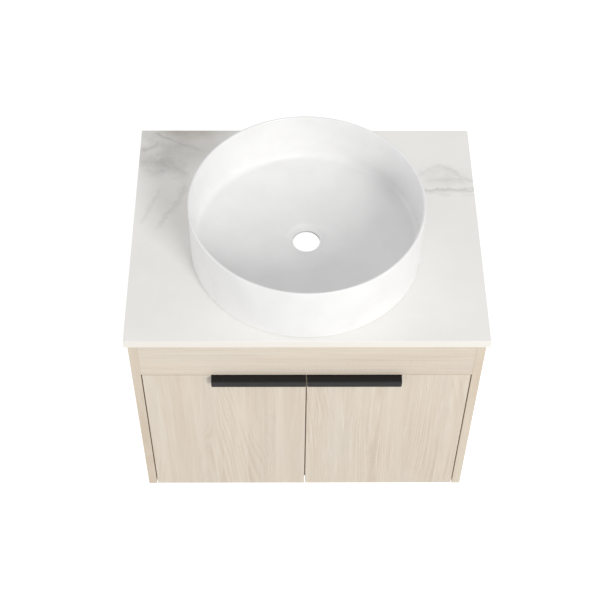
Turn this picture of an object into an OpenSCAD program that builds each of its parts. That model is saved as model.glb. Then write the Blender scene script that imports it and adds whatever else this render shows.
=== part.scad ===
// Wall-hung bathroom vanity: two-door cabinet, stone countertop and a round vessel basin.
// Origin: bottom centre of the cabinet, on the wall. +X right, +Y into the wall, +Z up.

/* [Cabinet] */
// Width across the outsides of the side panels
cabinet_w = 590; // [540:5:800]
// Height of the cabinet without the countertop
cabinet_h = 452; // [440:2:600]
// Depth from the wall to the front faces of the doors
cabinet_d = 473.5; // [460:0.5:560]
// Thickness of the panels and doors
board_t = 15; // [15:0.5:16]
// Height of the fixed rail above the doors
front_rail_h = 88; // [70:1:100]
// Height of the upper rail that hangs on the wall
top_rail_h = 100; // [80:5:120]
// Height of the lower rail on the wall
low_rail_h = 80; // [60:5:90]

/* [Countertop] */
// Width of the countertop
counter_w = 600; // [550:5:810]
// Depth of the countertop
counter_d = 480; // [466:1:570]
// Thickness of the countertop
counter_t = 16; // [12:1:20]
// Diameter of the cut-out under the basin's drain
counter_hole_d = 90; // [60:1:100]
// Diameter of the tap hole behind the basin
tap_hole_d = 35; // [32:1:36]
// Distance from the wall to the tap hole's centre
tap_back = 40; // [35:1:50]

/* [Basin] */
// Outer diameter of the basin
basin_d = 394; // [360:1:400]
// Height of the basin
basin_h = 116; // [100:1:140]
// Thickness of the basin's rounded rim
rim_t = 4.5; // [4:0.5:9]
// Radius between the basin's wall and its floor, inside
fillet_r = 12; // [8:1:30]
// Height of the floor above the countertop, at its outer edge
floor_z = 19; // [18:1:24]
// Diameter of the drain hole
drain_d = 46; // [43:1:47]
// Distance from the wall to the basin's centre
basin_back = 276; // [262:1:280]

/* [Doors] */
// Gap between a door and the side panel
side_gap = 2; // [2:0.5:3]
// Gap between the two doors
centre_gap = 2; // [2:0.5:5]
// Gap between the doors' handles and the front rail
top_gap = 1.2; // [1:0.2:3]
// Height of the doors' lower edge above the cabinet's bottom
door_lift = 1; // [0:0.5:3]
// Thickness of the soft pads that the doors close on
bumper_t = 1.5; // [1.5:0.5:3]

/* [Handles] */
// Length of a handle
handle_l = 160; // [100:5:200]
// How far a handle stands out from the door
handle_out = 14; // [12:1:20]
// Height of the handle's front lip
handle_drop = 15; // [12:1:20]
// Height of the tab behind the door
handle_tab = 24; // [20:1:30]
// Thickness of the folded handle sheet
handle_t = 1.6; // [1.2:0.2:2]

/* [Hidden] */
LEFT = -1;
RIGHT = 1;
eps = 0.01;
$fn = 64;

// Cabinet
inner_w = cabinet_w - 2 * board_t;
front_y = -cabinet_d;
door_w = (inner_w - 2 * side_gap - centre_gap) / 2;
door_top = cabinet_h - front_rail_h - top_gap;
inside_front = -cabinet_d + board_t + bumper_t;

// Countertop and basin
counter_z = cabinet_h;
basin_z = cabinet_h + counter_t;
basin_r = basin_d / 2;
drain_r = drain_d / 2;
foot_recess = 2;
foot_in_r = 150;
foot_round = 4;
dish_r = 38;
dish_drop = 4.5;
floor_fall = 2;
drain_lip = 1.5;
// Flat seat for the waste's nut, under the drain
seat_r = 34;
seat_z = 8;
sealant_in_r = 130;
sealant_out_r = 149;

// Handle bends
bend_r = 1.8;
lip_corner_r = 2.5;
tab_clear = 0.05;
recess_clear = 0.2;
handle_screw_x = [20, 80, 140];
handle_screw_drop = 14;
handle_screw_r = 1.5;

// Hinge, in its own frame: u from the side panel inwards, v from the doors' front backwards
hinge_z = [85, 285];
cup_r = 17.5;
cup_depth = 12;
cup_wall = 0.8;
cup_u = side_gap + 5 + cup_r;
flange_t = 1.2;
ear_u = 9.5;
ear_z = 22.5;
ear_r = 6;
cup_screw_r = 1.4;
pivot_u = 27;
pivot_v = board_t - 6.5;
pin_r = 2;
pin_half = 17;
run_clear = 0.05;
knuckle_r = 4;
arm_w = 12;
arm_t = 4;
arm_path = [[0, 0], [18, 14.5], [21, 19], [20, 25], [15, 30], [8, 32.5], [-13, 33.5], [-20, 33.5]];
base_t = 6;
base_v = 37;
base_l = 47;
plate_t = 3;
plate_w = 16;
plate_screw_v = 52;
plate_screw_z = 16;
plate_screw_r = 1.75;
plate_screw_l = 12;
arm_screw_v = 74;
adjust_screw_v = 60;
arm_screw_r = 2;

// Knock-down fittings
dowel_r = 4;
dowel_l = 30;
dowel_in_side = 10;
cam_r = 7.5;
cam_depth = 12.5;
cam_from_side = 34;
bolt_r = 3;
bolt_hole_r = 3.5;
thread_r = 2.5;
thread_l = 10;
rail_y = -board_t / 2;
// Each fitting: y, z, and the turn about X that points +Z the way its cam opens
bottom_z = board_t / 2;
top_rail_z = cabinet_h - top_rail_h / 2;
low_rail_z = board_t + low_rail_h / 2;
front_rail_z = cabinet_h - front_rail_h / 2;
bottom_joints = [[-405, bottom_z, 180], [-55, bottom_z, 180]];
top_rail_joints = [[rail_y, top_rail_z, 90]];
low_rail_joints = [[rail_y, low_rail_z, 90]];
front_rail_joints = [[front_y + board_t / 2, front_rail_z, -90]];
bottom_dowels = [[-360, bottom_z], [-100, bottom_z]];
top_rail_dowels = [[rail_y, top_rail_z - 30], [rail_y, top_rail_z + 30]];
low_rail_dowels = [[rail_y, low_rail_z - 25], [rail_y, low_rail_z + 25]];
front_rail_dowels = [[front_y + board_t / 2, front_rail_z - 25], [front_y + board_t / 2, front_rail_z + 25]];
all_joints = concat(bottom_joints, top_rail_joints, low_rail_joints, front_rail_joints);
all_dowels = concat(bottom_dowels, top_rail_dowels, low_rail_dowels, front_rail_dowels);

// Relief at the bottom panel's front corners, where the doors' hinge edges swing inwards
relief_w = 40;
relief_d = 20;

// Wall screws
wall_hole_r = 3.5;
wall_hole_x = 200;

// Points on an arc about c, from angle a0 to a1, in n steps
function arc(c, r, a0, a1, n) =
    [for (i = [0:n]) let (a = a0 + (a1 - a0) * i / n) c + r * [cos(a), sin(a)]];

// A cylinder that runs from the origin along +X or along +Y
module rod_x(r, l) rotate([0, 90, 0]) cylinder(h = l, r = r);
module rod_y(r, l) rotate([-90, 0, 0]) cylinder(h = l, r = r);

// Places children, made for the left side, on the given side
module on_side(side) mirror([side == RIGHT ? 1 : 0, 0, 0]) children();

// Places children at both hinges of a side, in the hinge's own frame
module at_hinges(side) on_side(side)
    for (z = hinge_z) translate([-inner_w / 2, front_y, z]) children();

// Places children on the inner face of both side panels, with +X pointing inwards and +Z the way a cam opens
module at_fittings(places) for (side = [LEFT, RIGHT]) on_side(side)
    for (p = places) translate([-inner_w / 2, p[0], p[1]]) rotate([len(p) > 2 ? p[2] : 0, 0, 0]) children();

// Basin ------------------------------------------------------------------

function basin_profile() =
    let (rim_r = rim_t / 2, wall_r = basin_r - rim_t, low_z = floor_z - floor_fall - dish_drop)
    concat(
        [[drain_r, seat_z], [seat_r, seat_z], [seat_r, foot_recess],
         [foot_in_r, foot_recess], [foot_in_r + 1, 0]],
        arc([basin_r - foot_round, foot_round], foot_round, -90, 0, 8),
        arc([basin_r - rim_r, basin_h - rim_r], rim_r, 0, 180, 12),
        arc([wall_r - fillet_r, floor_z + fillet_r], fillet_r, 0, -90, 12),
        [for (i = [0:8]) let (s = i / 8)
            [dish_r - (dish_r - drain_r - drain_lip) * s, low_z + dish_drop * (1 + cos(180 * s)) / 2]],
        arc([drain_r + drain_lip, low_z - drain_lip], drain_lip, 90, 180, 6)
    );

module basin() color("white")
    translate([0, -basin_back, basin_z]) rotate_extrude($fn = 180) polygon(basin_profile());

module basin_sealant() color("gainsboro")
    translate([0, -basin_back, basin_z]) difference() {
        cylinder(h = foot_recess, r = sealant_out_r);
        translate([0, 0, -eps]) cylinder(h = foot_recess + 2 * eps, r = sealant_in_r);
    }

// Countertop -------------------------------------------------------------

module countertop() color("whitesmoke") difference() {
    translate([-counter_w / 2, -counter_d, counter_z]) cube([counter_w, counter_d, counter_t]);
    translate([0, -basin_back, counter_z - 1]) cylinder(h = counter_t + 2, r = counter_hole_d / 2);
    translate([0, -tap_back, counter_z - 1]) cylinder(h = counter_t + 2, r = tap_hole_d / 2);
}

// Cabinet ----------------------------------------------------------------

module side_panel(side) color("wheat") difference() {
    on_side(side) translate([-cabinet_w / 2, front_y, 0]) cube([board_t, cabinet_d, cabinet_h]);
    at_fittings(all_dowels) translate([-dowel_in_side, 0, 0]) rod_x(dowel_r, dowel_in_side + 1);
    at_fittings(all_joints) translate([-thread_l, 0, 0]) rod_x(thread_r, thread_l + 1);
    at_hinges(side) for (s = [-1, 1])
        translate([plate_t - plate_screw_l, plate_screw_v, s * plate_screw_z])
            rod_x(plate_screw_r, plate_screw_l);
}

// Holes that a board between the side panels needs for its dowels and cams
module fitting_holes(joints, dowels) {
    at_fittings(dowels) translate([-1, 0, 0]) rod_x(dowel_r, dowel_l - dowel_in_side + 1.5);
    at_fittings(joints) {
        translate([-1, 0, 0]) rod_x(bolt_hole_r, cam_from_side + 1);
        translate([cam_from_side, 0, board_t / 2 - cam_depth]) cylinder(h = cam_depth + 1, r = cam_r);
    }
}

module bottom_panel() color("wheat") difference() {
    translate([-inner_w / 2, inside_front, 0]) cube([inner_w, -inside_front, board_t]);
    fitting_holes(bottom_joints, bottom_dowels);
    for (side = [LEFT, RIGHT]) on_side(side)
        translate([-inner_w / 2 - 1, inside_front - 1, -1]) cube([relief_w + 1, relief_d + 1, board_t + 2]);
}

module front_rail() color("wheat") difference() {
    translate([-inner_w / 2, front_y, cabinet_h - front_rail_h]) cube([inner_w, board_t, front_rail_h]);
    fitting_holes(front_rail_joints, front_rail_dowels);
}

// A rail on the wall, with its two screw holes
module back_rail(z, h, joints, dowels) color("wheat") difference() {
    translate([-inner_w / 2, -board_t, z]) cube([inner_w, board_t, h]);
    fitting_holes(joints, dowels);
    for (x = [-wall_hole_x, wall_hole_x])
        translate([x, -board_t - 1, z + h / 2]) rod_y(wall_hole_r, board_t + 2);
}

module back_rail_top() back_rail(cabinet_h - top_rail_h, top_rail_h, top_rail_joints, top_rail_dowels);
module back_rail_bottom() back_rail(board_t, low_rail_h, low_rail_joints, low_rail_dowels);

module panel_dowels() color("burlywood")
    at_fittings(all_dowels) translate([-dowel_in_side, 0, 0]) rod_x(dowel_r, dowel_l);

module cam_bolts() color("silver") at_fittings(all_joints) {
    translate([-thread_l, 0, 0]) rod_x(thread_r, thread_l + eps);
    rod_x(bolt_r, cam_from_side - 4);
}

module cam_locks() color("darkgray") at_fittings(all_joints) translate([cam_from_side, 0, 0]) difference() {
    translate([0, 0, board_t / 2 - cam_depth]) cylinder(h = cam_depth, r = cam_r);
    translate([-cam_r - 1, 0, 0]) rod_x(bolt_hole_r, cam_r + 1);
    for (a = [0, 90]) rotate([0, 0, a]) translate([-4, -0.8, board_t / 2 - 2]) cube([8, 1.6, 3]);
}

module door_bumpers() color("gainsboro")
    for (x = [-1, 1]) for (at = [22, 150])
        translate([x * at, front_y + board_t, bottom_z]) rod_y(4.5, bumper_t);

// Doors and handles ------------------------------------------------------

module door(side) color("wheat") difference() {
    on_side(side) translate([-inner_w / 2 + side_gap, front_y, door_lift])
        cube([door_w, board_t, door_top - door_lift]);
    at_hinges(side) {
        translate([cup_u, board_t - cup_depth, 0]) rod_y(cup_r, cup_depth + 1);
        for (s = [-1, 1]) translate([cup_u + ear_u, board_t - 9, s * ear_z]) rod_y(cup_screw_r, 10);
    }
    at_handle_screws(side) translate([0, -9, 0]) rod_y(handle_screw_r, 10);
    // The handle's top plate is let in flush with the door's top edge
    on_side(side) translate([-centre_gap / 2 - handle_l - recess_clear, front_y - 1, door_top - handle_t])
        cube([handle_l + recess_clear + 1, board_t + 2, handle_t + 1]);
}

// Places children where each handle screw enters the door's back
module at_handle_screws(side) on_side(side)
    for (x = handle_screw_x)
        translate([-centre_gap / 2 - x, front_y + board_t, door_top - handle_screw_drop]) children();

// The folded section: lip, top plate over the door's edge, and the tab behind the door
function handle_profile() =
    let (back = board_t + tab_clear)
    concat(
        [[-handle_out, handle_t - handle_drop]],
        arc([-handle_out + bend_r, handle_t - bend_r], bend_r, 180, 90, 6),
        arc([back + handle_t - bend_r, handle_t - bend_r], bend_r, 90, 0, 6),
        [[back + handle_t, -handle_tab], [back, -handle_tab], [back, 0],
         [-handle_out + handle_t, 0], [-handle_out + handle_t, handle_t - handle_drop]]
    );

// Cuts a lower corner of the lip or the tab to a radius
module corner_cut(x, flip, y, z) translate([x, y, z]) mirror([flip, 0, 0]) difference() {
    translate([-1, 0, -1]) cube([lip_corner_r + 1, 4, lip_corner_r + 1]);
    translate([lip_corner_r, -1, lip_corner_r]) rod_y(lip_corner_r, 6);
}

module handle(side) color("#26282a") difference() {
    on_side(side) translate([-centre_gap / 2 - handle_l, front_y, door_top - handle_t]) difference() {
        rotate([90, 0, 90]) linear_extrude(handle_l) polygon(handle_profile());
        for (end = [0, 1]) {
            corner_cut(end * handle_l, end, -handle_out - 1, handle_t - handle_drop);
            corner_cut(end * handle_l, end, board_t - 1, -handle_tab);
        }
    }
    at_handle_screws(side) rod_y(handle_screw_r, 4);
}

module handle_screws(side) color("dimgray") at_handle_screws(side) {
    translate([0, -8, 0]) rod_y(handle_screw_r, 8 + tab_clear + handle_t + eps);
    translate([0, tab_clear + handle_t, 0]) difference() {
        rod_y(3.2, 1.6);
        for (a = [0, 90]) rotate([0, a, 0]) translate([-1.8, 0.8, -0.4]) cube([3.6, 1, 0.8]);
    }
}

// Hinges -----------------------------------------------------------------

module hinge_cups(side) color("silver") at_hinges(side) difference() {
    union() {
        translate([cup_u, board_t - cup_depth, 0]) rod_y(cup_r, cup_depth);
        translate([cup_u, board_t, 0]) rod_y(cup_r + 2, flange_t);
        for (s = [-1, 1]) translate([cup_u + ear_u, board_t, s * ear_z]) rod_y(ear_r, flange_t);
        translate([cup_u + ear_u - ear_r, board_t, -ear_z]) cube([2 * ear_r, flange_t, 2 * ear_z]);
    }
    translate([cup_u, board_t - cup_depth + cup_wall, 0]) rod_y(cup_r - cup_wall, cup_depth + flange_t);
    translate([pivot_u, pivot_v, -cup_r - 1]) cylinder(h = 2 * cup_r + 2, r = pin_r);
    for (s = [-1, 1]) translate([cup_u + ear_u, board_t - 1, s * ear_z]) rod_y(cup_screw_r, 4);
}

module hinge_pins(side) color("gray") at_hinges(side)
    translate([pivot_u, pivot_v, -pin_half]) cylinder(h = 2 * pin_half, r = pin_r);

module hinge_cup_screws(side) color("silver") at_hinges(side) for (s = [-1, 1])
    translate([cup_u + ear_u, board_t + flange_t, s * ear_z]) {
        translate([0, -9, 0]) rod_y(cup_screw_r, 9 + eps);
        difference() {
            rod_y(3.2, 1.4);
            for (a = [0, 90]) rotate([0, a, 0]) translate([-1.8, 0.7, -0.4]) cube([3.6, 1, 0.8]);
        }
    }

function unit(v) = v / norm(v);
function left_of(v) = [-v[1], v[0]];
function reversed(p) = [for (i = [len(p) - 1:-1:0]) p[i]];

// A path moved sideways by d, mitred at its corners
function beside(p, d) = [for (i = [0:len(p) - 1])
    let (a = unit(i > 0 ? p[i] - p[i - 1] : p[1] - p[0]),
         b = unit(i < len(p) - 1 ? p[i + 1] - p[i] : p[i] - p[i - 1]),
         m = unit(left_of(a) + left_of(b)))
    p[i] + m * d / (m * left_of(a))];

// An outline of even thickness t along a path
module bent_strip(p, t) polygon(concat(beside(p, t / 2), reversed(beside(p, -t / 2))));

// The cranked arm reaches round the door's edge into the cup, and runs on the cup's pin
module hinge_arms(side) color("silver") at_hinges(side) difference() {
    union() {
        translate([pivot_u, pivot_v, -arm_w / 2]) {
            cylinder(h = arm_w, r = knuckle_r);
            linear_extrude(arm_w) bent_strip(arm_path, arm_t);
        }
        translate([plate_t, base_v, -arm_w / 2]) cube([base_t, base_l, arm_w]);
    }
    translate([pivot_u, pivot_v, -arm_w]) cylinder(h = 2 * arm_w, r = pin_r + run_clear);
    for (v = [arm_screw_v, adjust_screw_v]) translate([plate_t - 1, v, 0]) rod_x(arm_screw_r, base_t + 2);
}

module hinge_plates(side) color("silver") at_hinges(side) difference() {
    union() {
        translate([0, base_v + 2, -plate_w / 2]) cube([plate_t, base_l, plate_w]);
        translate([0, plate_screw_v - ear_r, -plate_screw_z]) cube([plate_t, 2 * ear_r, 2 * plate_screw_z]);
        for (s = [-1, 1]) translate([0, plate_screw_v, s * plate_screw_z]) rod_x(ear_r, plate_t);
    }
    translate([-1, arm_screw_v, 0]) rod_x(arm_screw_r, plate_t + 2);
    for (s = [-1, 1]) translate([-1, plate_screw_v, s * plate_screw_z]) rod_x(plate_screw_r, plate_t + 2);
}

// A pan-head screw along X, its head standing on the plane x = 0
module pan_screw_x(r, l, head_r, head_h) {
    translate([-l, 0, 0]) rod_x(r, l + eps);
    difference() {
        rod_x(head_r, head_h);
        for (a = [0, 90]) rotate([a, 0, 0]) translate([head_h / 2, -2, -0.4]) cube([head_h, 4, 0.8]);
    }
}

module hinge_plate_screws(side) color("silver") at_hinges(side) for (s = [-1, 1])
    translate([plate_t, plate_screw_v, s * plate_screw_z]) pan_screw_x(plate_screw_r, plate_screw_l, 3.6, 2);

module hinge_arm_screws(side) color("silver") at_hinges(side) {
    translate([plate_t + base_t, arm_screw_v, 0]) pan_screw_x(arm_screw_r, plate_t + base_t, 4, 2);
    translate([plate_t + base_t, adjust_screw_v, 0]) pan_screw_x(arm_screw_r, base_t, 3.2, 1.2);
}

basin();
basin_sealant();
countertop();
side_panel(LEFT);  // side_panel_left
side_panel(RIGHT);  // side_panel_right
bottom_panel();
front_rail();
back_rail_top();
back_rail_bottom();
panel_dowels();
cam_bolts();
cam_locks();
door_bumpers();
door(LEFT);  // door_left
door(RIGHT);  // door_right
handle(LEFT);  // handle_left
handle(RIGHT);  // handle_right
handle_screws(LEFT);  // handle_screws_left
handle_screws(RIGHT);  // handle_screws_right
hinge_cups(LEFT);  // hinge_cups_left
hinge_cups(RIGHT);  // hinge_cups_right
hinge_cup_screws(LEFT);  // hinge_cup_screws_left
hinge_cup_screws(RIGHT);  // hinge_cup_screws_right
hinge_pins(LEFT);  // hinge_pins_left
hinge_pins(RIGHT);  // hinge_pins_right
hinge_arms(LEFT);  // hinge_arms_left
hinge_arms(RIGHT);  // hinge_arms_right
hinge_plates(LEFT);  // hinge_plates_left
hinge_plates(RIGHT);  // hinge_plates_right
hinge_plate_screws(LEFT);  // hinge_plate_screws_left
hinge_plate_screws(RIGHT);  // hinge_plate_screws_right
hinge_arm_screws(LEFT);  // hinge_arm_screws_left
hinge_arm_screws(RIGHT);  // hinge_arm_screws_right
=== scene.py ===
"""The looks of a wall-hung vanity with a round vessel basin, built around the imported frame.

Everything is in metres: +X right, +Y into the wall, +Z up, with the cabinet's underside at z = 0.
"""
import math

import bmesh
import bpy
from mathutils import Matrix, Vector


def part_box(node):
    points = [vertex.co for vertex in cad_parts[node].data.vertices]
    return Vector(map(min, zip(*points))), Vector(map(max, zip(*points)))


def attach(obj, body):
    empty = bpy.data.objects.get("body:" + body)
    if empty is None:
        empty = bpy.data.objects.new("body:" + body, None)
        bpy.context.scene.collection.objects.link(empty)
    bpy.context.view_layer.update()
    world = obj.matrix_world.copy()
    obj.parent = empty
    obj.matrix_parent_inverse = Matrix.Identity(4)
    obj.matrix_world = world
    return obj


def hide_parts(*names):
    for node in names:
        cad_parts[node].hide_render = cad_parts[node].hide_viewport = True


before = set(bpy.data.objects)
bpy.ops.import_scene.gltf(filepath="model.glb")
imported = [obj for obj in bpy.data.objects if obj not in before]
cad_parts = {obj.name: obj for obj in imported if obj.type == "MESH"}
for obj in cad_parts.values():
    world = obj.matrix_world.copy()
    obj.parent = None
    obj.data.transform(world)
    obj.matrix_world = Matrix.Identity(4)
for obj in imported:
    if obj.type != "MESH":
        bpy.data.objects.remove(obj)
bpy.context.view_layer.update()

MM = 0.001

# Colours are sRGB, from 0 to 255
WHITE = (255, 255, 255)


def linear(colour):
    """An sRGB colour as the linear RGBA that shaders take."""
    def channel(value):
        share = value / 255
        return share / 12.92 if share <= 0.04045 else ((share + 0.055) / 1.055) ** 2.4
    return (*[channel(value) for value in colour], 1.0)


# Material graphs ---------------------------------------------------------------


class Graph:
    """One material's nodes. Each method adds a step and returns the socket that it comes out of."""

    def __init__(self, name, **shader_inputs):
        self.material = bpy.data.materials.new(name)
        self.material.use_nodes = True
        self.tree = self.material.node_tree
        self.shader = self.tree.nodes["Principled BSDF"]
        for socket, value in shader_inputs.items():
            self.shader.inputs[socket.replace("_", " ")].default_value = value

    def add(self, kind, inputs, **settings):
        node = self.tree.nodes.new(kind)
        for key, value in settings.items():
            setattr(node, key, value)
        for socket, value in inputs.items():
            self.feed(node.inputs[socket], value)
        return node

    def feed(self, socket, value):
        if isinstance(value, bpy.types.NodeSocket):
            self.tree.links.new(value, socket)
        else:
            socket.default_value = value

    def place(self, output="Object"):
        """The point in the piece's own frame, so that a pattern stays on a piece that moves."""
        return self.add("ShaderNodeTexCoord", {}).outputs[output]

    def parts(self, vector):
        return self.add("ShaderNodeSeparateXYZ", {0: vector}).outputs

    def vector(self, x, y, z):
        return self.add("ShaderNodeCombineXYZ", {0: x, 1: y, 2: z}).outputs[0]

    def mapped(self, vector, scale=(1, 1, 1), shift=(0, 0, 0), turn=(0, 0, 0)):
        inputs = {"Vector": vector, "Scale": scale, "Location": shift, "Rotation": turn}
        return self.add("ShaderNodeMapping", inputs).outputs[0]

    def math(self, operation, first, second=0.0, third=0.0):
        return self.add("ShaderNodeMath", {0: first, 1: second, 2: third}, operation=operation).outputs[0]

    def noise(self, vector, scale, detail=2.0, roughness=0.5, distortion=0.0):
        inputs = {"Vector": vector, "Scale": scale, "Detail": detail,
                  "Roughness": roughness, "Distortion": distortion}
        return self.add("ShaderNodeTexNoise", inputs).outputs["Fac"]

    def bands(self, value, scale, detail=1.0):
        """Irregular bands along a single value, such as growth rings."""
        inputs = {"W": value, "Scale": scale, "Detail": detail}
        return self.add("ShaderNodeTexNoise", inputs, noise_dimensions="1D").outputs["Fac"]

    def span(self, value, low, high, to_low=0.0, to_high=1.0, smooth=True):
        """value from low..high brought to to_low..to_high, and held there outside."""
        kind = "SMOOTHSTEP" if smooth else "LINEAR"
        inputs = {"Value": value, "From Min": low, "From Max": high, "To Min": to_low, "To Max": to_high}
        return self.add("ShaderNodeMapRange", inputs, interpolation_type=kind).outputs[0]

    def mix(self, share, first, second):
        node = self.add("ShaderNodeMix", {}, data_type="RGBA")
        for socket, value in (("Factor", share), ("A", first), ("B", second)):
            wanted = "VALUE" if socket == "Factor" else "RGBA"
            self.feed(next(s for s in node.inputs if s.name == socket and s.type == wanted), value)
        return next(s for s in node.outputs if s.type == "RGBA")

    def bump(self, height, distance, strength=1.0, below=None):
        inputs = {"Height": height, "Distance": distance, "Strength": strength}
        if below is not None:
            inputs["Normal"] = below
        return self.add("ShaderNodeBump", inputs).outputs[0]

    def finish(self, colour=None, roughness=None, normal=None, metallic=None):
        for socket, value in (("Base Color", colour), ("Roughness", roughness),
                              ("Normal", normal), ("Metallic", metallic)):
            if value is not None:
                self.feed(self.shader.inputs[socket], value)
        return self.material


# Oak boards --------------------------------------------------------------------

OAK_LIGHT = (232, 222, 207)
OAK_DARK = (213, 198, 180)
OAK_PORE = (190, 171, 148)
OAK_COOL = (217, 210, 201)
OAK_WASH = (236, 229, 218)
OAK_EDGE = (220, 204, 182)
# Which axes of the model run across a board's grain, through the board, and along its grain
UPRIGHT_FRONT = ("X", "Y", "Z")
UPRIGHT_SIDE = ("Y", "X", "Z")
LYING_FRONT = ("Z", "Y", "X")
LYING_FLAT = ("Y", "Z", "X")


def oak(name, axes, washed, seed):
    """Whitened oak laminate, its figure running along the board's last axis."""
    g = Graph(name, Specular_IOR_Level=0.3)
    parts = g.parts(g.place())
    across, through, along = (parts["XYZ".index(axis)] for axis in axes)
    board = g.vector(across, through, along)

    # Growth rings: level lines of a field that mostly climbs across the grain, with flames where it turns
    hills = g.noise(g.mapped(board, scale=(9, 3, 1.1), shift=(seed, 0, 0)), 1.0, detail=1.0, roughness=0.3)
    sway = g.noise(g.mapped(board, scale=(60, 10, 7), shift=(0, seed, 0)), 1.0, detail=2.0)
    level = g.math("MULTIPLY_ADD", across, 2.4, hills)
    level = g.math("MULTIPLY_ADD", sway, 0.014, level)
    level = g.math("MULTIPLY_ADD", g.bands(level, 9.0), 0.10, level)
    ring = g.math("FRACT", g.math("MULTIPLY", level, 38.0))
    ring = g.math("MULTIPLY", g.span(ring, 0.0, 0.2), g.span(ring, 0.9, 0.25))
    shown = g.noise(g.mapped(board, scale=(16, 5, 3.5), shift=(seed, seed, 0)), 1.0, detail=3.0)
    ring = g.math("MULTIPLY", ring, g.span(shown, 0.42, 0.66, to_low=0.06))

    # Streaks, fibres and pores, each longer than it is wide
    swathes = g.mapped(board, scale=(26, 12, 1.1), shift=(0, seed, seed))
    swathes = g.noise(swathes, 1.0, detail=3.0, roughness=0.6)
    streaks = g.mapped(board, scale=(110, 50, 2.2), shift=(0, 0, seed))
    streaks = g.noise(streaks, 1.0, detail=4.0, roughness=0.65)
    fibres = g.mapped(board, scale=(620, 300, 14), shift=(seed, 0, seed))
    fibres = g.noise(fibres, 1.0, detail=3.0, roughness=0.7)
    pores = g.noise(g.mapped(board, scale=(1900, 900, 95)), 1.0, detail=1.0)
    pore_marks = g.math("MULTIPLY", g.span(pores, 0.58, 0.68), g.math("MULTIPLY_ADD", ring, 0.8, 0.2))
    clouds = g.noise(g.mapped(board, scale=(20, 8, 3.2), shift=(seed, seed, 0)), 1.0, detail=2.0)
    wash = g.noise(g.mapped(board, scale=(230, 120, 6), shift=(seed, 0, 0)), 1.0, detail=4.0, roughness=0.7)

    tone = g.math("MULTIPLY", ring, 0.32)
    tone = g.math("MULTIPLY_ADD", g.span(swathes, 0.32, 0.68), 0.36, tone)
    tone = g.math("MULTIPLY_ADD", g.span(streaks, 0.28, 0.72, smooth=False), 0.36, tone)
    tone = g.math("MULTIPLY_ADD", g.span(fibres, 0.3, 0.7, smooth=False), 0.22, tone)
    colour = g.mix(g.span(tone, 0.12, 0.95, smooth=False), linear(OAK_LIGHT), linear(OAK_DARK))
    colour = g.mix(g.math("MULTIPLY", g.span(clouds, 0.45, 0.75), 0.35), colour, linear(OAK_COOL))
    colour = g.mix(g.math("MULTIPLY", g.span(wash, 0.52, 0.70), washed), colour, linear(OAK_WASH))
    colour = g.mix(g.math("MULTIPLY", pore_marks, 0.5), colour, linear(OAK_PORE))

    # The band glued along the board's edges is a shade darker than its faces
    facing = g.parts(g.place("Normal"))["XYZ".index(axes[1])]
    on_edge = g.span(g.math("ABSOLUTE", facing), 0.5, 0.8, to_low=1.0, to_high=0.0)
    colour = g.mix(g.math("MULTIPLY", on_edge, 0.35), colour, linear(OAK_EDGE))

    roughness = g.span(fibres, 0.25, 0.75, to_low=0.50, to_high=0.64, smooth=False)
    grooves = g.math("MULTIPLY_ADD", pore_marks, -1.0, g.math("MULTIPLY", fibres, 0.5))
    return g.finish(colour, roughness, g.bump(grooves, 0.08 * MM, 0.5))


# Stone -------------------------------------------------------------------------

STONE_LIGHT = (250, 249, 246)
STONE_SOFT = (247, 246, 243)
VEIN_GREY = (180, 178, 174)
# The warm tint of the painted shade on the slab's left
PAINTED_SHADE_TINT = (196, 188, 176)
STONE_EDGE = (238, 232, 218)

# Veins on the slab: start and end (x, y), half width, how dark, how far it bows sideways
VEINS = [
    ((-0.298, -0.080), (-0.208, -0.112), 0.0240, 0.32, 0.008),
    ((-0.213, -0.130), (-0.258, -0.240), 0.0100, 0.24, 0.003),
    ((-0.258, -0.145), (-0.286, -0.228), 0.0090, 0.18, -0.003),
    ((-0.274, -0.010), (-0.180, -0.052), 0.0065, 0.28, -0.003),
    ((-0.276, -0.008), (-0.238, -0.030), 0.0045, 0.50, 0.000),
    ((-0.298, -0.052), (-0.268, -0.028), 0.0080, 0.24, -0.004),
    ((-0.262, -0.100), (-0.205, -0.100), 0.0080, 0.16, -0.006),
    ((0.205, -0.150), (0.306, -0.148), 0.0062, 0.46, 0.002),
    ((0.205, -0.116), (0.254, -0.088), 0.0120, 0.18, 0.010),
    ((0.244, -0.086), (0.280, -0.126), 0.0120, 0.22, 0.004),
    ((0.262, -0.122), (0.310, -0.128), 0.0100, 0.22, 0.000),
    ((0.214, -0.126), (0.290, -0.136), 0.0080, 0.14, 0.006),
    ((0.218, -0.146), (0.258, -0.160), 0.0070, 0.18, -0.003),
    ((0.272, -0.152), (0.304, -0.158), 0.0060, 0.14, -0.002),
]
# Soft grey clouds: centre (x, y), radii, how dark
CLOUDS = [
    ((-0.270, -0.052), (0.100, 0.090), 0.34),
    ((-0.268, -0.100), (0.034, 0.026), 0.18),
    ((0.252, -0.118), (0.062, 0.040), 0.20),
]
# Painted shade, tinted warm: darker patches on the slab's left, where the basin's shadow falls, and along
# its back edge: centre (x, y), radii, how dark
PAINTED_SHADE_PATCHES = [
    ((-0.225, 0.004), (0.115, 0.036), 0.60),
    ((-0.205, -0.040), (0.100, 0.080), 0.34),
    ((-0.228, -0.180), (0.085, 0.140), 0.14),
    ((-0.240, -0.340), (0.170, 0.240), 0.14),
]


def soft_spot(g, point, centre, radii):
    """1 at the centre of an ellipse on the slab, falling to 0 at its rim."""
    local = g.mapped(point, scale=(1 / radii[0], 1 / radii[1], 0),
                     shift=(-centre[0] / radii[0], -centre[1] / radii[1], 0))
    length = g.add("ShaderNodeVectorMath", {0: local}, operation="LENGTH").outputs["Value"]
    return g.span(length, 1.0, 0.15)


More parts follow.
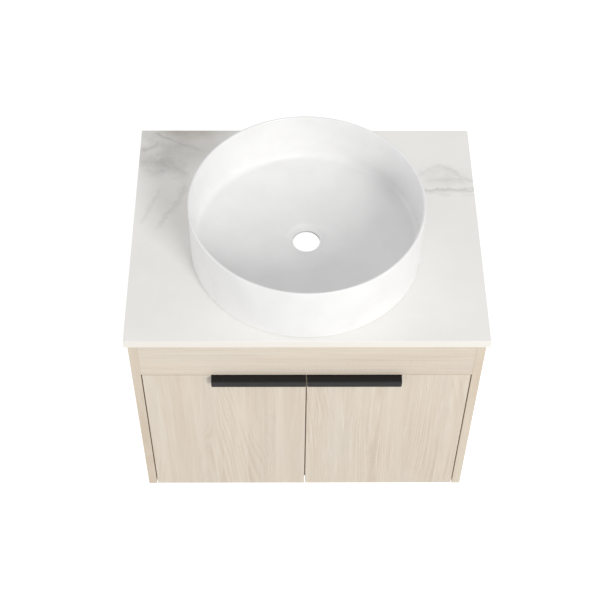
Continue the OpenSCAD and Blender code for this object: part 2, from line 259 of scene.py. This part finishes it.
def vein(g, point, warp, fine, start, end, half_width, bow):
    """1 along a vein from start to end, falling to 0 at its sides and towards its ends."""
    run = Vector(end) - Vector(start)
    length, angle = run.length, math.atan2(run.y, run.x)
    turned = g.mapped(g.mapped(point, shift=(-start[0], -start[1], 0)), turn=(0, 0, -angle))
    u, v, _ = g.parts(turned)
    share = g.math("DIVIDE", u, length)
    arch = g.math("MULTIPLY", share, g.math("SUBTRACT", 1.0, share))
    middle = g.math("MULTIPLY_ADD", arch, 4 * bow, warp)
    off = g.math("ABSOLUTE", g.math("SUBTRACT", v, middle))
    width = g.math("MULTIPLY", fine, half_width)
    side = g.math("SUBTRACT", 1.0, g.math("MINIMUM", 1.0, g.math("DIVIDE", off, width)))
    ends = g.math("MULTIPLY", g.span(share, -0.06, 0.12), g.span(share, 1.06, 0.86))
    return g.math("MULTIPLY", g.math("POWER", side, 1.4), ends)


def stone():
    """Off-white veined stone with a honed finish."""
    g = Graph("veined_stone", Specular_IOR_Level=0.4)
    x, y, z = g.parts(g.place())
    # Veins go down through the slab's thickness at a slant
    point = g.vector(g.math("MULTIPLY_ADD", z, 0.35, g.math("SUBTRACT", x, 0.164)), y, 0.0)
    wide = g.math("SUBTRACT", g.noise(point, 14.0, detail=2.0), 0.5)
    small = g.math("SUBTRACT", g.noise(point, 75.0, detail=3.0, roughness=0.6), 0.5)
    warp = g.math("MULTIPLY_ADD", wide, 0.024, g.math("MULTIPLY", small, 0.014))
    fine = g.span(g.noise(point, 55.0, detail=3.0, roughness=0.65), 0.3, 0.72, to_low=0.35, to_high=1.7)
    mottle = g.span(g.noise(point, 38.0, detail=5.0, roughness=0.65), 0.34, 0.68, to_low=0.45, to_high=1.15)
    soft_mottle = g.span(g.noise(point, 20.0, detail=3.0), 0.35, 0.65, to_low=0.75, to_high=1.05)

    grey = 0.0
    for start, end, half_width, dark, bow in VEINS:
        line = vein(g, point, warp, fine, start, end, half_width, bow)
        grey = g.math("MAXIMUM", grey, g.math("MULTIPLY", line, dark))
    for centre, radii, dark in CLOUDS:
        spot = g.math("MULTIPLY", soft_spot(g, point, centre, radii), mottle)
        grey = g.math("MULTIPLY_ADD", spot, dark, grey)
    # Painted shade: warm darkening on the slab's left, where the basin's shadow falls, and along its back
    # edge
    painted_shade = 0.0
    for centre, radii, dark in PAINTED_SHADE_PATCHES:
        spot = g.math("MULTIPLY", soft_spot(g, point, centre, radii), soft_mottle)
        painted_shade = g.math("MULTIPLY_ADD", spot, dark, painted_shade)

    drift = g.noise(g.mapped(point, scale=(5, 9, 1), turn=(0, 0, 0.6)), 1.0, detail=4.0, roughness=0.55)
    colour = g.mix(g.span(drift, 0.35, 0.70), linear(STONE_LIGHT), linear(STONE_SOFT))
    colour = g.mix(g.math("MINIMUM", painted_shade, 0.9), colour, linear(PAINTED_SHADE_TINT))
    colour = g.mix(g.math("MINIMUM", grey, 0.9), colour, linear(VEIN_GREY))
    upward = g.math("ABSOLUTE", g.parts(g.place("Normal"))["Z"])
    colour = g.mix(g.span(upward, 0.5, 0.2, to_high=0.5), colour, linear(STONE_EDGE))
    grain = g.noise(g.place(), 900.0, detail=2.0)
    roughness = g.span(grain, 0.3, 0.7, to_low=0.36, to_high=0.46, smooth=False)
    return g.finish(colour, roughness, g.bump(grain, 0.02 * MM, 0.4))


# Glaze, plastics and metals ------------------------------------------------------

GLAZE = (246, 246, 246)
GLAZE_SOFT = (243, 243, 243)


def glaze():
    """Satin white glaze with the faint unevenness of fired ceramic."""
    g = Graph("glazed_white", Specular_IOR_Level=0.5, Coat_Weight=0.25, Coat_Roughness=0.22)
    place = g.place()
    patches = g.noise(place, 22.0, detail=3.0)
    orange_peel = g.noise(place, 260.0, detail=2.0)
    colour = g.mix(g.span(patches, 0.35, 0.65), linear(GLAZE), linear(GLAZE_SOFT))
    roughness = g.span(patches, 0.3, 0.7, to_low=0.28, to_high=0.36, smooth=False)
    height = g.math("MULTIPLY_ADD", patches, 3.0, orange_peel)
    return g.finish(colour, roughness, g.bump(height, 0.02 * MM, 0.35))


def powder_coat(name, colour, lighter):
    """Fine-textured matt black coating."""
    g = Graph(name, Specular_IOR_Level=0.2)
    place = g.place()
    grain = g.noise(place, 2600.0, detail=2.0, roughness=0.7)
    patches = g.noise(place, 60.0, detail=2.0)
    shade = g.mix(g.span(grain, 0.35, 0.75), linear(colour), linear(lighter))
    roughness = g.span(patches, 0.3, 0.7, to_low=0.42, to_high=0.52, smooth=False)
    return g.finish(shade, roughness, g.bump(grain, 0.03 * MM, 0.6))


def metal(name, bright, dull, roughness, scale=(900, 900, 900)):
    """Plated or bare metal, with fine marks at the given number per metre along each axis."""
    g = Graph(name, Metallic=1.0)
    place = g.place()
    marks = g.noise(g.mapped(place, scale=scale), 1.0, detail=3.0, roughness=0.6)
    patches = g.noise(place, 90.0, detail=2.0)
    colour = g.mix(g.span(patches, 0.3, 0.7), linear(bright), linear(dull))
    rough = g.span(marks, 0.3, 0.7, to_low=roughness - 0.06, to_high=roughness + 0.08, smooth=False)
    return g.finish(colour, rough, g.bump(marks, 0.01 * MM, 0.5))


def beech():
    """Plain turned beech with its short dark flecks."""
    g = Graph("beech", Roughness=0.6)
    place = g.place()
    flecks = g.noise(g.mapped(place, scale=(250, 1600, 1600)), 1.0, detail=2.0)
    streaks = g.noise(g.mapped(place, scale=(25, 500, 500)), 1.0, detail=2.0)
    colour = g.mix(g.span(streaks, 0.3, 0.7), linear((222, 190, 150)), linear((206, 170, 128)))
    colour = g.mix(g.math("MULTIPLY", g.span(flecks, 0.58, 0.7), 0.6), colour, linear((160, 118, 80)))
    return g.finish(colour, normal=g.bump(flecks, 0.05 * MM, 0.5))


def rubbery(name, colour, milky, roughness):
    """Translucent silicone or soft plastic."""
    g = Graph(name, Transmission_Weight=0.35, IOR=1.41)
    clouds = g.noise(g.place(), 300.0, detail=2.0)
    shade = g.mix(g.span(clouds, 0.3, 0.7), linear(colour), linear(milky))
    rough = g.span(clouds, 0.3, 0.7, to_low=roughness, to_high=roughness + 0.12, smooth=False)
    return g.finish(shade, rough, g.bump(clouds, 0.02 * MM, 0.4))


# Shapes ------------------------------------------------------------------------


def dress(obj, material):
    """Gives an object one material in place of what it has."""
    obj.data.materials.clear()
    obj.data.materials.append(material)


def soften(node, width, steps=2):
    """Rounds the edges that lie along the sides of a slab's box, and leaves its holes sharp."""
    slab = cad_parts[node]
    mesh = slab.data
    low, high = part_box(node)
    close = 0.01 * MM

    def sides(edge):
        ends = [mesh.vertices[index].co for index in edge.vertices]
        return sum(
            all(abs(end[axis] - face[axis]) < close for end in ends)
            for face in (low, high) for axis in range(3)
        )

    uses = [0] * len(mesh.edges)
    for loop in mesh.loops:
        uses[loop.edge_index] += 1
    weights = mesh.attributes.new("bevel_weight_edge", "FLOAT", "EDGE")
    sharp = mesh.attributes.get("sharp_edge") or mesh.attributes.new("sharp_edge", "BOOLEAN", "EDGE")
    for edge in mesh.edges:
        weights.data[edge.index].value = float(sides(edge) >= 2)
        sharp.data[edge.index].value = uses[edge.index] == 1
    custom = mesh.attributes.get("custom_normal")
    if custom:
        mesh.attributes.remove(custom)
    for face in mesh.polygons:
        face.use_smooth = True
    weld = slab.modifiers.new("weld", "WELD")
    weld.merge_threshold = close
    bevel = slab.modifiers.new("rounded edges", "BEVEL")
    bevel.limit_method = "WEIGHT"
    bevel.width = width
    bevel.segments = steps
    bevel.harden_normals = True


def new_piece(name, mesh, material, body):
    piece = bpy.data.objects.new(name, mesh)
    bpy.context.scene.collection.objects.link(piece)
    dress(piece, material)
    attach(piece, body)
    return piece


def arc(centre, radius, start, end, steps):
    """Points on an arc, its angles in degrees."""
    angles = [math.radians(start + (end - start) * i / steps) for i in range(steps + 1)]
    return [(centre[0] + radius * math.cos(a), centre[1] + radius * math.sin(a)) for a in angles]


def lathe(name, outline, centre, turns):
    """A mesh turned from a closed outline of (radius, height) points about an upright axis."""
    mesh = bpy.data.meshes.new(name)
    count = len(outline)
    points = []
    for turn in range(turns):
        angle = math.tau * turn / turns
        points += [
            (centre[0] + r * math.cos(angle), centre[1] + r * math.sin(angle), centre[2] + h)
            for r, h in outline
        ]
    faces = []
    for turn in range(turns):
        here, after = turn * count, (turn + 1) % turns * count
        for i in range(count):
            j = (i + 1) % count
            faces.append((here + i, after + i, after + j, here + j))
    mesh.from_pydata(points, [], faces)
    mesh.update()
    return mesh


def shade(mesh, sharp_angle):
    """Smooth shading, but for edges that turn by more than sharp_angle degrees."""
    work = bmesh.new()
    work.from_mesh(mesh)
    bmesh.ops.recalc_face_normals(work, faces=work.faces)
    for face in work.faces:
        face.smooth = True
    limit = math.radians(sharp_angle)
    for edge in work.edges:
        edge.smooth = len(edge.link_faces) == 2 and edge.calc_face_angle(0.0) < limit
    work.to_mesh(mesh)
    work.free()


# Basin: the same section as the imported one, turned finely, with its edges eased
BASIN_RIM_T = 4.5 * MM
BASIN_FILLET_R = 12 * MM
BASIN_FLOOR_Z = 19 * MM
BASIN_FLOOR_FALL = 2 * MM
BASIN_DISH_R = 38 * MM
BASIN_DISH_DROP = 4.5 * MM
BASIN_DRAIN_R = 23 * MM
BASIN_DRAIN_LIP = 1.5 * MM
BASIN_SEAT_R = 34 * MM
BASIN_SEAT_Z = 8 * MM
BASIN_FOOT_RECESS = 2 * MM
BASIN_FOOT_IN_R = 150 * MM
BASIN_FOOT_ROUND = 4 * MM
BASIN_TURNS = 288


def basin_outline(outer_r, height):
    rim_r, wall_r = BASIN_RIM_T / 2, outer_r - BASIN_RIM_T
    low_z = BASIN_FLOOR_Z - BASIN_FLOOR_FALL - BASIN_DISH_DROP
    lip_r = BASIN_DRAIN_R + BASIN_DRAIN_LIP
    dish_steps = 14
    dish = [
        (BASIN_DISH_R - (BASIN_DISH_R - lip_r) * i / dish_steps,
         low_z + BASIN_DISH_DROP * (1 + math.cos(math.pi * i / dish_steps)) / 2)
        for i in range(dish_steps + 1)
    ]
    return [
        (BASIN_DRAIN_R, BASIN_SEAT_Z),
        (BASIN_SEAT_R, BASIN_SEAT_Z),
        (BASIN_SEAT_R, BASIN_FOOT_RECESS),
        (BASIN_FOOT_IN_R, BASIN_FOOT_RECESS),
        (BASIN_FOOT_IN_R + MM, 0.0),
        *arc((outer_r - BASIN_FOOT_ROUND, BASIN_FOOT_ROUND), BASIN_FOOT_ROUND, -90, 0, 8),
        *arc((outer_r - rim_r, height - rim_r), rim_r, 0, 180, 20),
        *arc((wall_r - BASIN_FILLET_R, BASIN_FLOOR_Z + BASIN_FILLET_R), BASIN_FILLET_R, 0, -90, 18),
        *dish,
        *arc((lip_r, low_z - BASIN_DRAIN_LIP), BASIN_DRAIN_LIP, 90, 180, 8)[1:],
    ]


def basin():
    low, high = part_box("basin")
    centre = ((low.x + high.x) / 2, (low.y + high.y) / 2, low.z)
    outline = basin_outline((high.x - low.x) / 2, high.z - low.z)
    mesh = lathe("basin_body", outline, centre, BASIN_TURNS)
    shade(mesh, 40)
    piece = new_piece("basin_body", mesh, glaze(), "cabinet")
    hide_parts("basin")


# Handles: one folded sheet each, drawn along the middle of its thickness
HANDLE_T = 1.6 * MM
HANDLE_BEND_R = 1.8 * MM
HANDLE_CORNER_R = 2.5 * MM
HANDLE_EDGE_R = 0.3 * MM
HANDLE_LIP_DROP = 15 * MM


def handle_path(low, high):
    """The folded sheet's middle line, from the lip's lower edge to the tab's, as (y, z) points."""
    half = HANDLE_T / 2
    front, back, top = low.y + half, high.y - half, high.z - half
    bend = HANDLE_BEND_R - half
    lip_end, tab_end = high.z - HANDLE_LIP_DROP, low.z
    steps = 8

    def edge_rows(z_end, y):
        corner = [HANDLE_CORNER_R * (1 - math.cos(math.pi / 2 * i / steps)) for i in range(steps + 1)]
        return [(y, z_end + rise) for rise in corner]

    lip = edge_rows(lip_end, front)
    over = arc((front + bend, top - bend), bend, 180, 90, steps)
    down = arc((back - bend, top - bend), bend, 90, 0, steps)
    tab = edge_rows(tab_end, back)[::-1]
    return lip + over + down + tab


def handle(side):
    """A black edge pull: lip, top plate and the tab behind the door."""
    node = f"handle_{side}"
    low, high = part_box(node)
    path = handle_path(low, high)
    travelled = [0.0]
    for before, after in zip(path, path[1:]):
        travelled.append(travelled[-1] + math.dist(before, after))

    def inset(distance):
        """How far the sheet's end is drawn in by the rounded corner, this far from its edge."""
        left = HANDLE_CORNER_R - min(distance, HANDLE_CORNER_R)
        return HANDLE_CORNER_R - math.sqrt(HANDLE_CORNER_R ** 2 - left ** 2)

    columns = 24
    points = []
    for (y, z), s in zip(path, travelled):
        back = inset(min(s, travelled[-1] - s))
        x0, x1 = low.x + back, high.x - back
        points += [(x0 + (x1 - x0) * i / columns, y, z) for i in range(columns + 1)]
    row = columns + 1
    faces = [
        (r * row + i, r * row + i + 1, (r + 1) * row + i + 1, (r + 1) * row + i)
        for r in range(len(path) - 1) for i in range(columns)
    ]
    mesh = bpy.data.meshes.new(f"handle_{side}_fold")
    mesh.from_pydata(points, [], faces)
    mesh.update()
    piece = new_piece(f"handle_{side}_fold", mesh, BLACK, f"{side}_door")
    sheet = piece.modifiers.new("sheet", "SOLIDIFY")
    sheet.thickness = HANDLE_T
    sheet.offset = 0
    sheet.use_even_offset = True
    edge = piece.modifiers.new("eased edges", "BEVEL")
    edge.limit_method = "ANGLE"
    edge.angle_limit = math.radians(50)
    edge.width = HANDLE_EDGE_R
    edge.segments = 2
    edge.harden_normals = True
    for face in mesh.polygons:
        face.use_smooth = True
    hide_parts(node)


# Pieces --------------------------------------------------------------------------

BLACK = powder_coat("black_metal", (27, 27, 27), (37, 37, 38))

BOARD_EDGE_R = 0.5 * MM
STONE_EDGE_R = 0.8 * MM
# How each board's grain runs, and how much of the white wash it has taken
BOARDS = {
    "side_panel_left": (UPRIGHT_SIDE, 0.25),
    "side_panel_right": (UPRIGHT_SIDE, 0.60),
    "bottom_panel": (LYING_FLAT, 0.40),
    "front_rail": (LYING_FRONT, 0.25),
    "back_rail_top": (LYING_FRONT, 0.40),
    "back_rail_bottom": (LYING_FRONT, 0.40),
    "door_left": (UPRIGHT_FRONT, 0.40),
    "door_right": (UPRIGHT_FRONT, 0.62),
}
for index, (node, (axes, washed)) in enumerate(BOARDS.items()):
    dress(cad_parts[node], oak(f"oak_{node}", axes, washed, seed=3.7 * (index + 1)))
    soften(node, BOARD_EDGE_R)

dress(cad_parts["countertop"], stone())
soften("countertop", STONE_EDGE_R, steps=3)

nickel = metal("hinge_nickel", (205, 203, 198), (186, 184, 180), 0.26, scale=(1200, 1200, 90))
zinc_steel = metal("zinc_steel", (196, 199, 203), (170, 174, 180), 0.32)
FINISHES = {
    "basin_sealant": rubbery("clear_silicone", (236, 237, 236), (224, 226, 225), 0.3),
    "panel_dowels": beech(),
    "cam_bolts": zinc_steel,
    "cam_locks": metal("zinc_cast", (158, 160, 163), (128, 130, 134), 0.45, scale=(500, 500, 500)),
    "door_bumpers": rubbery("soft_clear", (232, 232, 228), (214, 215, 212), 0.42),
}
dark_screw = metal("dark_screw", (58, 58, 60), (40, 40, 42), 0.4)
pin_steel = metal("hinge_pin", (184, 186, 190), (160, 162, 167), 0.2, scale=(1500, 1500, 60))
for side in ("left", "right"):
    FINISHES |= {
        f"handle_screws_{side}": dark_screw,
        f"hinge_cups_{side}": nickel,
        f"hinge_arms_{side}": nickel,
        f"hinge_plates_{side}": nickel,
        f"hinge_pins_{side}": pin_steel,
        f"hinge_cup_screws_{side}": zinc_steel,
        f"hinge_plate_screws_{side}": zinc_steel,
        f"hinge_arm_screws_{side}": zinc_steel,
    }
for node, material in FINISHES.items():
    dress(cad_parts[node], material)

basin()
for side in ("left", "right"):
    handle(side)


# Stage, light and camera -----------------------------------------------------------

FLOOR_Z = -0.36
FLOOR_HALF = 30.0
FLOOR_GLOW = 0.45

# What the lights point at, and each light's place, width across (metres) and power (watts)
LIT_POINT = (0.0, -0.25, 0.40)
LIGHT_ACROSS = 2.0
KEY_PLACE = (2.29, -4.73, 3.13)
KEY_POWER = 155
KEY_COLOUR = (255, 254, 252)
FILL_PLACE = (-4.7, 1.0, 1.6)
FILL_POWER = 40
WORLD_COLOUR = (254, 254, 254)
WORLD_STRENGTH = 0.605

# The camera solved from the photo's edges: place in metres, and turns in degrees
CAMERA_PLACE = (-0.0326, -1.7603, 2.2426)
CAMERA_YAW = 0.889
CAMERA_PITCH = 52.409
CAMERA_ROLL = 0.675
CAMERA_LENS = 80.76
SENSOR_WIDTH = 36


def floor():
    mesh = bpy.data.meshes.new("floor")
    corners = [(x * FLOOR_HALF, y * FLOOR_HALF, FLOOR_Z) for x, y in ((-1, -1), (1, -1), (1, 1), (-1, 1))]
    mesh.from_pydata(corners, [], [(0, 1, 2, 3)])
    plane = bpy.data.objects.new("floor", mesh)
    bpy.context.scene.collection.objects.link(plane)
    g = Graph("floor_paint", Roughness=0.8, Specular_IOR_Level=0.1,
              Emission_Color=linear(WHITE), Emission_Strength=FLOOR_GLOW)
    tint = g.noise(g.place(), 3.0, detail=2.0)
    dress(plane, g.finish(g.mix(tint, linear((244, 244, 243)), linear((250, 250, 250)))))
    plane.visible_diffuse = False


def area_light(name, place, power, colour=WHITE):
    """A soft round light that faces the vanity."""
    lamp = bpy.data.lights.new(name, "AREA")
    lamp.shape = "DISK"
    lamp.size = LIGHT_ACROSS
    lamp.energy = power
    lamp.color = linear(colour)[:3]
    light = bpy.data.objects.new(name, lamp)
    light.location = place
    light.visible_camera = False
    light.rotation_euler = (Vector(LIT_POINT) - Vector(place)).to_track_quat("-Z", "Y").to_euler()
    bpy.context.scene.collection.objects.link(light)


def camera():
    """Looks down at the vanity from the front, at the photograph's angle."""
    yaw, pitch, roll = (math.radians(turn) for turn in (CAMERA_YAW, CAMERA_PITCH, CAMERA_ROLL))
    ahead = Vector((math.sin(yaw) * math.cos(pitch), math.cos(yaw) * math.cos(pitch), -math.sin(pitch)))
    level = Vector((math.cos(yaw), -math.sin(yaw), 0))
    upright = level.cross(ahead)
    right = math.cos(roll) * level + math.sin(roll) * upright
    up = math.cos(roll) * upright - math.sin(roll) * level
    data = bpy.data.cameras.new("camera")
    data.sensor_width = SENSOR_WIDTH
    data.lens = CAMERA_LENS
    view = bpy.data.objects.new("camera", data)
    facing = Matrix((right, up, -ahead)).transposed().to_4x4()
    view.matrix_world = Matrix.Translation(CAMERA_PLACE) @ facing
    bpy.context.scene.collection.objects.link(view)
    bpy.context.scene.camera = view


floor()
world = bpy.data.worlds.new("studio")
world.use_nodes = True
background = world.node_tree.nodes["Background"]
background.inputs["Color"].default_value = linear(WORLD_COLOUR)
background.inputs["Strength"].default_value = WORLD_STRENGTH
bpy.context.scene.world = world
bpy.context.scene.view_settings.view_transform = "Standard"
area_light("key", KEY_PLACE, KEY_POWER, KEY_COLOUR)
area_light("fill", FILL_PLACE, FILL_POWER)
camera()
